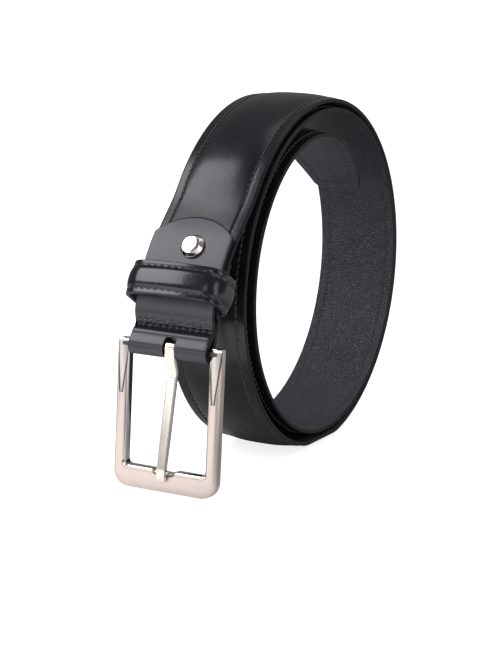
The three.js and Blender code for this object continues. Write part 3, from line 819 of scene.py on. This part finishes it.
front = EDGE + TAB_GAP + TAB_T
head = [
    (1.9, 0.02), (4.5, 0.02), (4.72, 0.12), (4.8, 0.3), (4.8, 0.75), (4.76, 0.9), (4.66, 1.02),
    (3.84, 2.32), (3.72, 2.46), (3.55, 2.53), (2.0, 2.57), (0.0, 2.58),
]
stud_profile = [(0.0, -2.5), (1.9, -2.5)] + [(r, front + h) for r, h in head]
v, f = turned_piece(stud_profile, 64)
stud = make("stud_head", v, f, polished, angle=28)
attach(stud, "strap")
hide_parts("stud_post")
SCREW_END = -4.0
screw_profile = [
    (0.0, SCREW_END), (2.6, SCREW_END), (3.6, -3.9), (3.95, -3.6), (4.0, -3.2), (4.0, -2.85), (0.0, -2.85),
]
v, f = turned_piece(screw_profile, 48)
screw = make("stud_screw_head", v, f, steel, angle=35)
slot_cut = block("screw_slot", (0, 0, 0), (7.5, 1.0, 0.9), 0.1)
basis = Matrix((ACROSS, out, upward)).transposed().to_4x4()
slot_cut.matrix_world = Matrix.Translation((base + out * SCREW_END) * MM) @ basis
carve(screw, [slot_cut])
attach(screw, "strap")
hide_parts("stud_screw")

# ---------------------------------------------------------------- keeper loop
K_ALONG, K_TILT, K_BAND, K_HALF = 9.6, 32.0, 13.6, 17.8
K_BOW, K_CORNER, K_SLACK = 1.8, 3.4, 1.3
K_FRONT_GAP, K_BACK_GAP = 2.4, 3.5
k_base, k_out, k_up = strap_basis(K_ALONG, K_TILT)
k_front = front + K_FRONT_GAP
k_back = -(TAB_GAP + TAB_T) - K_BACK_GAP


def loop_outline(grow, n_arc=10, n_side=24, n_end=8):
    """Points (x, out) round the loop, front bowed, from the back's middle."""
    hw, fr, bk, r = K_HALF + grow, k_front + grow, k_back - grow, K_CORNER + grow
    pts = []

    def side_run(p, q, n):
        for u in np.linspace(0, 1, n, endpoint=False):
            pts.append((p[0] + (q[0] - p[0]) * u, p[1] + (q[1] - p[1]) * u))

    def corner(cx, cy, a0, n):
        for u in np.linspace(0, 1, n, endpoint=False):
            a = math.radians(a0 + 90 * u)
            pts.append((cx + r * math.cos(a), cy + r * math.sin(a)))

    side_run((0, bk), (hw - r, bk), n_side // 2)
    corner(hw - r, bk + r, -90, n_arc)
    side_run((hw, bk + r), (hw, fr - r), n_end)
    corner(hw - r, fr - r, 0, n_arc)
    side_run((hw - r, fr), (-hw + r, fr), n_side)
    corner(-hw + r, fr - r, 90, n_arc)
    side_run((-hw, fr - r), (-hw, bk + r), n_end)
    corner(-hw + r, bk + r, 180, n_arc)
    side_run((-hw + r, bk), (0, bk), n_side // 2)
    out_line = np.array(pts)
    bowed = out_line[:, 1] > 0
    out_line[bowed, 1] += K_BOW * (1 - (out_line[bowed, 0] / hw) ** 2)
    out_line[:, 0] -= K_SLACK * ramp(-out_line[:, 0], 11, 8)
    return out_line


def loop_piece(section):
    """section is a closed list of (grow, height along the strap)."""
    outlines = [loop_outline(g) for g, _ in section]
    n = len(outlines[0])
    rings = []
    for i in range(n):
        ring = []
        for (g, h), o in zip(section, outlines):
            x, out_ = o[i]
            p = k_base + k_out * out_ + k_up * h
            ring.append(((p.x + x) * MM, p.y * MM, p.z * MM))
        rings.append(ring)
    rings.append(rings[0])
    return loft(rings, caps=False)


hb = K_BAND / 2
K_ROW = hb - 2.0
crown = []
for u in np.linspace(-1, 1, 33):
    h = u * (hb - 0.35)
    swell = 0.75 * (1 - min(1, abs(h) / 4.3) ** 2.4) ** 0.85
    groove = 0.18 * math.exp(-(((abs(h) - K_ROW) / 0.38) ** 2))
    crown.append((1.62 + swell - groove, h))
lower_rim = [(0.76, -hb), (1.3, -hb), (1.52, -hb + 0.12)]
upper_rim = [(1.52, hb - 0.12), (1.3, hb), (0.76, hb)]
v, f = loop_piece(lower_rim + crown + upper_rim)
keeper = make("keeper_skin", v, f, keeper_gloss, angle=50)
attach(keeper, "keeper")
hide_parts("keeper_leather")
v, f = loop_piece([(0.0, -hb + 0.3), (0.25, -hb), (0.7, -hb), (0.7, hb), (0.25, hb), (0.0, hb - 0.3)])
keeper_in = make("keeper_lining_skin", v, f, pebble, angle=50)
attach(keeper_in, "keeper")
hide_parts("keeper_lining")


def loop_stitches(level):
    """A row of stitches round the loop, at a height along the strap."""
    outline = loop_outline(1.56, 12, 40, 12)
    closed = np.vstack([outline, outline[:1]])
    arc = np.concatenate([[0], np.cumsum(np.linalg.norm(np.diff(closed, axis=0), axis=1))])
    total = arc[-1]
    count = int(total / 3.0)
    pitch = total / count

    def on_loop(place):
        place = place % total
        return np.interp(place, arc, closed[:, 0]), np.interp(place, arc, closed[:, 1])

    made = []
    for k in range(count):
        verts, faces = stitch(0, 0, pitch * 0.8, 0, 0.32, 0.25, 8, place=flat_place, dip=0.3)
        place = ((k + 0.5) * pitch + verts[:, 1]) % total
        x, y = on_loop(place)
        (x1, y1), (x0, y0) = on_loop(place + 0.05), on_loop(place - 0.05)
        tx, ty = x1 - x0, y1 - y0
        size = np.hypot(tx, ty) + 1e-9
        x, y = x + ty / size * verts[:, 2], y - tx / size * verts[:, 2]
        pts = []
        for xx, yy, hh in zip(x, y, level + verts[:, 0]):
            p = k_base + k_out * float(yy) + k_up * float(hh)
            pts.append(((p.x + xx) * MM, p.y * MM, p.z * MM))
        made.append((np.array(pts), faces))
    return join_parts(made)


for name, level in (("keeper_stitching_upper", K_ROW), ("keeper_stitching_lower", -K_ROW)):
    v, f = loop_stitches(level)
    row = make(name.replace("stitching", "thread"), v, f, thread, angle=180)
    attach(row, "keeper")
    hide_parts(name)

# ---------------------------------------------------------------- buckle frame
FW, AW, EH = 22.4, 4.9, 8.6  # half width, arm width, end bar height
TOP, LOW = 2.2, -55.0  # from the bar
LEAN = math.radians(3.0)
FACET = 21.0  # length of the polished bevels down the arms
FRONT_Y, BACK_Y, SIDE_Y = -2.2, 2.2, -0.75
INNER_R, OUTER_R = 2.0, 6.5
ARM_RINGS, TURN_RINGS, END_RINGS = 110, 33, 47


def leaned(pts):
    """Points round the bar, in mm, leaned with the frame and put in place."""
    pts = np.asarray(pts, float)
    y, z = pts[..., 1], pts[..., 2]
    c, s_ = math.cos(LEAN), math.sin(LEAN)
    return np.stack([pts[..., 0], BAR_Y + y * c + z * s_, BAR_Z - y * s_ + z * c], -1) * MM


def frame_stations():
    """Outer and inner edge points down the left arm, round and to the middle."""
    turn_z = LOW + EH + INNER_R
    pairs = [((-FW, z), (-FW + AW, z)) for z in np.linspace(TOP, turn_z, ARM_RINGS)]
    straight = turn_z - (LOW + OUTER_R)
    arc = OUTER_R * math.pi / 2
    tail = (-FW + AW + INNER_R) - (-FW + OUTER_R)
    for u in np.linspace(0, 1, TURN_RINGS + 1)[1:]:
        d = u * (straight + arc + tail)
        if d < straight:
            out_p = (-FW, turn_z - d)
        elif d < straight + arc:
            t = math.pi + (d - straight) / OUTER_R
            out_p = (-FW + OUTER_R + OUTER_R * math.cos(t), LOW + OUTER_R + OUTER_R * math.sin(t))
        else:
            out_p = (-FW + OUTER_R + (d - straight - arc), LOW)
        t = math.pi + u * math.pi / 2
        pairs.append((out_p, (-FW + AW + INNER_R + INNER_R * math.cos(t), turn_z + INNER_R * math.sin(t))))
    start = -FW + AW + INNER_R
    pairs += [((x, LOW), (x, LOW + EH)) for x in np.linspace(start, 0, END_RINGS + 1)[1:]]
    return pairs


def frame_ring(outer, inner, ends):
    """One section: outer edge to inner edge over the front, and back behind."""
    v = np.linspace(0, 1, 43)
    v = 0.5 - 0.5 * np.cos(math.pi * (0.12 + 0.76 * v))
    v = (v - v[0]) / (v[-1] - v[0])
    e = 2 * v - 1
    x = outer[0] + (inner[0] - outer[0]) * v
    z = outer[1] + (inner[1] - outer[1]) * v
    n = 2.1 + 2.6 * ends
    y = SIDE_Y + (FRONT_Y - SIDE_Y) * (1 - np.abs(e) ** n) ** (1 / n)
    k = max(0.0, 1 - (TOP - outer[1]) / FACET)
    if k > 0:
        y = np.maximum(y, FRONT_Y + k * (0.95 + 0.35 * np.abs(e)))
    if ends > 0.99:
        seat = math.exp(-((abs(x[0]) / 4.1) ** 6))
        y = np.maximum(y, FRONT_Y + seat * 1.5 * ramp(v, 0.74, 0.14))
        z = z - seat * 0.9 * ramp(v, 0.8, 0.2)
    bx = [0.0, 0.0, 0.012, 0.05, 0.16, 0.5, 0.84, 0.95, 0.988, 1.0, 1.0]
    by = [0.2, 1.75, 2.0, 2.14, BACK_Y, BACK_Y, BACK_Y, 2.14, 2.0, 1.75, 0.2]
    ring = [(x[i], y[i], z[i]) for i in range(len(v))]
    for t, yy in zip(bx[::-1], by[::-1]):
        ring.append((outer[0] + (inner[0] - outer[0]) * t, yy, z[-1] + (z[0] - z[-1]) * (1 - t)))
    return np.array(ring)


left = frame_stations()
turning = [float(ramp(u, 0.1, 0.85)) for u in np.linspace(0, 1, TURN_RINGS)]
share = [0.0] * ARM_RINGS + turning + [1.0] * END_RINGS
half_rings = [frame_ring(o, i, e) for (o, i), e in zip(left, share)]
caps_down = []
for drop, shrink in ((0.0, 0.55), (0.06, 0.78), (0.2, 0.9), (0.42, 0.97), (0.7, 0.995)):
    ring = half_rings[0].copy()
    middle = ring.mean(axis=0)
    ring[:, :2] = middle[:2] + (ring[:, :2] - middle[:2]) * shrink
    ring[:, 2] = TOP - drop
    caps_down.append(ring)
half_rings = caps_down + half_rings[2:]
other = [r * np.array([-1, 1, 1]) for r in half_rings[:-1][::-1]]
frame_v, frame_f = loft(np.array(half_rings + other))


def polish_mask(pts):
    """From 0 where the frame is satin to 1 where it is bright polished."""
    local = pts / MM - np.array([0, BAR_Y, BAR_Z])
    c, s_ = math.cos(LEAN), math.sin(LEAN)
    x = np.abs(local[:, 0])
    y = local[:, 1] * c - local[:, 2] * s_
    z = local[:, 1] * s_ + local[:, 2] * c
    e = np.clip((x - (FW - AW / 2)) / (AW / 2), -1, 1)
    k = np.clip(1 - (TOP - z) / FACET, 0, 1)
    facet = np.where((k > 0) & (y < 0), 0.16 + 0.9 * k - np.abs(e), -1)
    sides = np.minimum((FW - AW + 0.25 - x) / 0.5, (z - LOW - EH - 0.2) / 0.5)
    lip = np.minimum((z - LOW - EH + 0.5) / 0.5, (FW - AW + 0.5 - x) / 0.5)
    seat = np.minimum.reduce([(4.3 - x) / 0.5, (z - LOW - EH + 2.4) / 0.5, (y - FRONT_Y - 0.15) / 0.2])
    nearest = np.maximum.reduce([facet, sides, lip, seat])
    return 0.5 + 0.5 * np.clip(nearest, -1, 1)


def two_finish(name, satin_rgb, bright_rgb):
    """Satin metal with polished facets where the polish attribute is 1, and a painted shade line that darkens
    the colour round each polished patch.
    """
    m, t, b_ = shader(name, satin_rgb, 0.3, metallic=1.0)
    v = coords(t)
    mask = node(t, "ShaderNodeAttribute", attribute_name="polish")
    cloud = node(t, "ShaderNodeTexNoise", Scale=150.0, Detail=8.0, Roughness=0.7)
    link(t, v, cloud.inputs["Vector"])
    dull = curve(t, cloud.outputs["Fac"], [(0.3, tuple(0.94 * c for c in satin_rgb)), (0.7, satin_rgb)])
    finish = curve(t, mask.outputs["Fac"], [(0.47, grey(0)), (0.53, grey(1))])
    mix = node(t, "ShaderNodeMix", data_type="RGBA")
    link(t, finish, mix.inputs[0])
    link(t, dull, mix.inputs[6])
    mix.inputs[7].default_value = (*bright_rgb, 1)
    # painted shade: a thin dark line multiplied into the colour along the border of every polished patch
    edge = [(0.38, grey(1)), (0.45, grey(0.1)), (0.5, grey(0.14)), (0.6, grey(1))]
    line = curve(t, mask.outputs["Fac"], edge)
    shade = node(t, "ShaderNodeMix", data_type="RGBA", blend_type="MULTIPLY")
    shade.inputs[0].default_value = 1.0
    link(t, mix.outputs[2], shade.inputs[6])
    link(t, line, shade.inputs[7])
    link(t, shade.outputs[2], b_.inputs["Base Color"])
    wear = curve(t, cloud.outputs["Fac"], [(0.3, grey(0.19)), (0.7, grey(0.25))])
    rough = node(t, "ShaderNodeMix", data_type="FLOAT")
    link(t, finish, rough.inputs[0])
    link(t, wear, rough.inputs[2])
    rough.inputs[3].default_value = 0.09
    link(t, rough.outputs[0], b_.inputs["Roughness"])
    grain = node(t, "ShaderNodeTexNoise", Scale=3200.0, Detail=2.0)
    link(t, coords(t, (1, 1, 0.06)), grain.inputs["Vector"])
    bumps(t, b_, [(cloud.outputs["Fac"], 0.012, 0.00005), (grain.outputs["Fac"], 0.03, 0.00002)])
    return m


pearl = two_finish("pearl_nickel", (0.72, 0.615, 0.57), (0.82, 0.77, 0.72))
buckle = make("buckle_frame_body", leaned(frame_v), frame_f, pearl, angle=60)
attribute(buckle, "polish", polish_mask)
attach(buckle, "frame")
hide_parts("buckle_frame")
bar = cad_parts["buckle_bar"]
# the bar's dark colour is painted shade for the gaps beside the tab's fold
bar.data.materials.clear()
bar.data.materials.append(painted_shade_steel)

# ---------------------------------------------------------------- prong
NECK = [(-1.95, 0.6), (-2.05, -1.2), (-1.5, -3.4), (-0.35, -5.9), (0.65, -8.4), (0.95, -10.4)]
SHAFT_END = (-3.6, -45.8)
EYE_FROM, EYE_SPAN, EYE_STEPS, EYE_SIDES = -150, 320, 48, 24  # the prong's ring round the bar, degrees
TIP_PATH = [(-3.68, -47.2), (-3.7, -48.6), (-3.6, -49.6), (-3.35, -50.4), (-3.05, -50.85)]


def prong_line():
    """Side-view centre line: curved neck, straight shaft, tip bent down."""
    neck_pts, _ = smooth_path(NECK, 40)
    top, end = np.array(NECK[-1]), np.array(SHAFT_END)
    shaft = [tuple(top * (1 - u) + end * u) for u in np.linspace(0, 1, 44)[1:]]
    tip_pts, _ = smooth_path([SHAFT_END] + TIP_PATH, 18)
    return np.array([tuple(p_) for p_ in neck_pts] + shaft + [tuple(p_) for p_ in tip_pts[1:]])


def prong_halves(z):
    """Half-widths left and right and the thickness at a height."""
    base_half = 2.2 - 0.3 * float(ramp(-z, 10.1, 0.7)) - 0.1 * float(ramp(-z, 30, 14))
    notch = 1.15 * math.exp(-(((z + 11.3) / 0.6) ** 4))
    thick = 1.3 + 0.9 * float(ramp(-z, 0.5, 4.5)) - 0.4 * float(ramp(-z, 46, 3))
    end = math.sqrt(max(0.05, 1 - float(np.clip((-z - 49.2) / 1.75, 0, 1)) ** 2))
    return (base_half - notch) * end, base_half * end, thick * (0.45 + 0.55 * end)


def prong_piece():
    """Verts and faces of the shaft and its ring, turned and leaned into place."""
    line = prong_line()
    slope = np.gradient(line, axis=0)
    slope /= np.linalg.norm(slope, axis=1)[:, None]
    corner = [(1.0, 0.0), (1.0, 0.7), (0.985, 0.84), (0.93, 0.94), (0.84, 0.985), (0.7, 1.0), (0.0, 1.0)]
    quarter = corner + [(-x, y) for x, y in corner[::-1][1:]]
    shape = quarter + [(x, -y) for x, y in quarter[::-1][1:-1]]
    rings = []
    for (y, z), (ty, tz) in zip(line, slope):
        left_w, right_w, thick = prong_halves(z)
        ring = []
        for u, w in shape:
            x = u * (right_w if u > 0 else left_w)
            d = w * thick / 2
            ring.append((x, y + tz * d, z - ty * d))
        rings.append(ring)
    shaft = loft(np.array(rings))
    rings = []
    for k in range(EYE_STEPS + 1):
        t = math.radians(EYE_FROM + EYE_SPAN * k / EYE_STEPS)
        ring = []
        for j in range(EYE_SIDES):
            q = 2 * math.pi * j / EYE_SIDES
            x = 2.2 * math.copysign(abs(math.cos(q)) ** 0.35, math.cos(q))
            r = 2.42 + 0.62 * math.copysign(abs(math.sin(q)) ** 0.35, math.sin(q))
            ring.append((x, -r * math.cos(t), r * math.sin(t)))
        rings.append(ring)
    verts, faces = join_parts([shaft, loft(np.array(rings))])
    yaw = math.radians(1.0)
    x = verts[:, 0] * math.cos(yaw) + verts[:, 2] * math.sin(yaw) + SLOT_X
    z = -verts[:, 0] * math.sin(yaw) + verts[:, 2] * math.cos(yaw)
    return leaned(np.stack([x, verts[:, 1], z], -1)), faces


prong_metal = metal("prong_nickel", (0.82, 0.775, 0.7), (0.79, 0.745, 0.67), 0.17, 0.015, grain=0.003)
prong = make("prong_body", *prong_piece(), prong_metal, angle=50)
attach(prong, "prong")
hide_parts("prong")

# ---------------------------------------------------------------- stage and light
floor_m, ft, fb = shader("studio_floor", (0.9, 0.9, 0.9), 0.8, spec=0.0)
ray = node(ft, "ShaderNodeLightPath")
place = node(ft, "ShaderNodeTexCoord")
split = node(ft, "ShaderNodeSeparateXYZ")
link(ft, place.outputs["Object"], split.inputs[0])


def fade(source, start, end, low, high):
    n = node(ft, "ShaderNodeMapRange", interpolation_type="SMOOTHSTEP")
    link(ft, source, n.inputs["Value"])
    for key, v in (("From Min", start), ("From Max", end), ("To Min", low), ("To Max", high)):
        n.inputs[key].default_value = v
    return n.outputs["Result"]


def combine(kind, a, b):
    n = node(ft, "ShaderNodeMath", operation=kind)
    link(ft, a, n.inputs[0])
    link(ft, b, n.inputs[1])
    return n.outputs[0]


# seen by all but camera rays: a bright pool before the belt on the left, and a dim one on the right
floor_x, floor_y = split.outputs[0], split.outputs[1]
left_pool = combine("MULTIPLY", fade(floor_x, 0.1, -0.03, 0.0, 1.0), fade(floor_y, -0.07, -0.12, 0.0, 0.88))
left_pool = combine("MULTIPLY", left_pool, fade(floor_x, -0.08, -0.24, 1.0, 0.45))
right_pool = combine("MULTIPLY", fade(floor_x, 0.1, 0.25, 0.0, 1.0), fade(floor_y, 0.3, 0.0, 0.1, 0.5))
# painted light: the floor glows; to camera rays more strongly with distance, to other rays only in the two
# pools, and its colour is darker for other rays than for the camera
away = node(ft, "ShaderNodeVectorMath", operation="LENGTH")
link(ft, place.outputs["Object"], away.inputs[0])
glow = node(ft, "ShaderNodeMix", data_type="FLOAT")
link(ft, ray.outputs["Is Camera Ray"], glow.inputs[0])
link(ft, combine("ADD", left_pool, right_pool), glow.inputs[2])
link(ft, fade(away.outputs["Value"], 0.4, 2.0, 0.8, 1.1), glow.inputs[3])
link(ft, glow.outputs[0], fb.inputs["Emission Strength"])
tone = node(ft, "ShaderNodeMix", data_type="RGBA")
link(ft, ray.outputs["Is Camera Ray"], tone.inputs[0])
tone.inputs[6].default_value = (0.62, 0.62, 0.62, 1)
tone.inputs[7].default_value = (0.9, 0.9, 0.9, 1)
link(ft, tone.outputs[2], fb.inputs["Base Color"])
fb.inputs["Emission Color"].default_value = (1, 1, 1, 1)
bpy.ops.mesh.primitive_plane_add(size=60, location=(0, 0, -0.0002))
floor = bpy.context.object
floor.name = "floor"
floor.data.materials.append(floor_m)

world = bpy.data.worlds.new("studio")
bpy.context.scene.world = world
world.use_nodes = True
wt = world.node_tree
bg = wt.nodes["Background"]
wray = node(wt, "ShaderNodeLightPath")
wmix = node(wt, "ShaderNodeMix", data_type="FLOAT")
link(wt, wray.outputs["Is Camera Ray"], wmix.inputs[0])
wmix.inputs[2].default_value = 0.19
wmix.inputs[3].default_value = 1.0
link(wt, wmix.outputs[0], bg.inputs["Strength"])
bg.inputs["Color"].default_value = (1, 1, 1, 1)


def softbox(name, direction, distance, size, radiance, size_y=None, along=(0, 0, 1)):
    """A rectangular light that faces the belt, given by what it radiates."""
    away = Vector(direction).normalized() * distance
    facing = away.normalized()
    tall = (Vector(along) - facing * facing.dot(Vector(along))).normalized()
    aim = Vector((0, -0.04, 0.07))
    d = bpy.data.lights.new(name, "AREA")
    d.shape = "RECTANGLE"
    d.size = size
    d.size_y = size_y or size
    d.energy = radiance * math.pi * d.size * d.size_y
    o = bpy.data.objects.new(name, d)
    bpy.context.scene.collection.objects.link(o)
    axes = Matrix((tall.cross(facing), tall, facing)).transposed().to_4x4()
    o.matrix_world = Matrix.Translation(aim + away) @ axes
    return o


softbox("key", (-0.575, -0.45, 0.69), 1.2, 0.48, 4.7, 0.84, (0, 0.81, 0.586))
softbox("low_front", (-0.45, -0.84, 0.15), 1.3, 0.9, 1.9, 0.32)
softbox("front", (-0.02, -0.82, 0.52), 1.3, 0.42, 1.5, 0.5)
softbox("overhead", (0.25, 0.3, 1.0), 1.5, 1.2, 0.9)
softbox("back", (0.5, 1.0, 0.6), 1.5, 0.7, 1.2)
softbox("right", (1.0, -0.35, 0.35), 1.4, 0.6, 1.7, 1.0)

view = bpy.context.scene.view_settings
view.view_transform = "Standard"
view.look = "None"
view.exposure = 0.0
